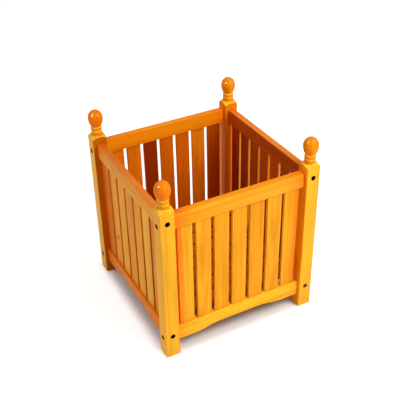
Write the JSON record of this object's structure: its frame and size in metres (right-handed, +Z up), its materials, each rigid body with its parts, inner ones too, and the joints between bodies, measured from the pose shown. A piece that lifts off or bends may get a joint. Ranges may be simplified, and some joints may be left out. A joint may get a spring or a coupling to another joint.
{
  "type": "versailles planter",
  "caption": "Square slatted wooden planter with corner posts, turned ball finials, arched lower rails and a slatted floor that holds a pot.",
  "frame": {"origin": "middle of the footprint on the ground", "axes": "+X to the right along the front face, +Y from front to back, +Z up"},
  "size_m": [0.4566, 0.4566, 0.5356],
  "materials": {
    "pine_front": "planed softwood under an orange tinted semi-gloss varnish",
    "pine_rail": "planed softwood under an orange tinted semi-gloss varnish, edges rounded",
    "pine_turned": "turned softwood under a deeper coat of the same varnish, glossier",
    "pine_inner": "sawn softwood with one thin coat of the varnish, duller"
  },
  "bodies": {
    "root": {"post_front_left": "pine_front", "finial_front_left": "pine_turned", "post_front_right": "pine_front", "finial_front_right": "pine_turned", "post_back_left": "pine_front", "finial_back_left": "pine_turned", "post_back_right": "pine_front", "finial_back_right": "pine_turned", "top_rail_front": "pine_rail", "bottom_rail_front": "pine_rail", "slat_front_1": "pine_front", "slat_front_2": "pine_front", "slat_front_3": "pine_front", "slat_front_4": "pine_front", "slat_front_5": "pine_front", "slat_front_6": "pine_front", "slat_front_7": "pine_front", "top_rail_right": "pine_rail", "bottom_rail_right": "pine_rail", "slat_right_1": "pine_front", "slat_right_2": "pine_front", "slat_right_3": "pine_front", "slat_right_4": "pine_front", "slat_right_5": "pine_front", "slat_right_6": "pine_front", "slat_right_7": "pine_front", "top_rail_back": "pine_rail", "bottom_rail_back": "pine_rail", "slat_back_1": "pine_front", "slat_back_2": "pine_front", "slat_back_3": "pine_front", "slat_back_4": "pine_front", "slat_back_5": "pine_front", "slat_back_6": "pine_front", "slat_back_7": "pine_front", "top_rail_left": "pine_rail", "bottom_rail_left": "pine_rail", "slat_left_1": "pine_front", "slat_left_2": "pine_front", "slat_left_3": "pine_front", "slat_left_4": "pine_front", "slat_left_5": "pine_front", "slat_left_6": "pine_front", "slat_left_7": "pine_front", "floor_board_1": "pine_inner", "floor_board_2": "pine_inner", "floor_board_3": "pine_inner", "floor_board_4": "pine_inner", "floor_board_5": "pine_inner", "floor_board_6": "pine_inner", "floor_board_7": "pine_inner", "floor_cleat_left": "pine_inner", "floor_cleat_right": "pine_inner"}
  },
  "joints": []
}
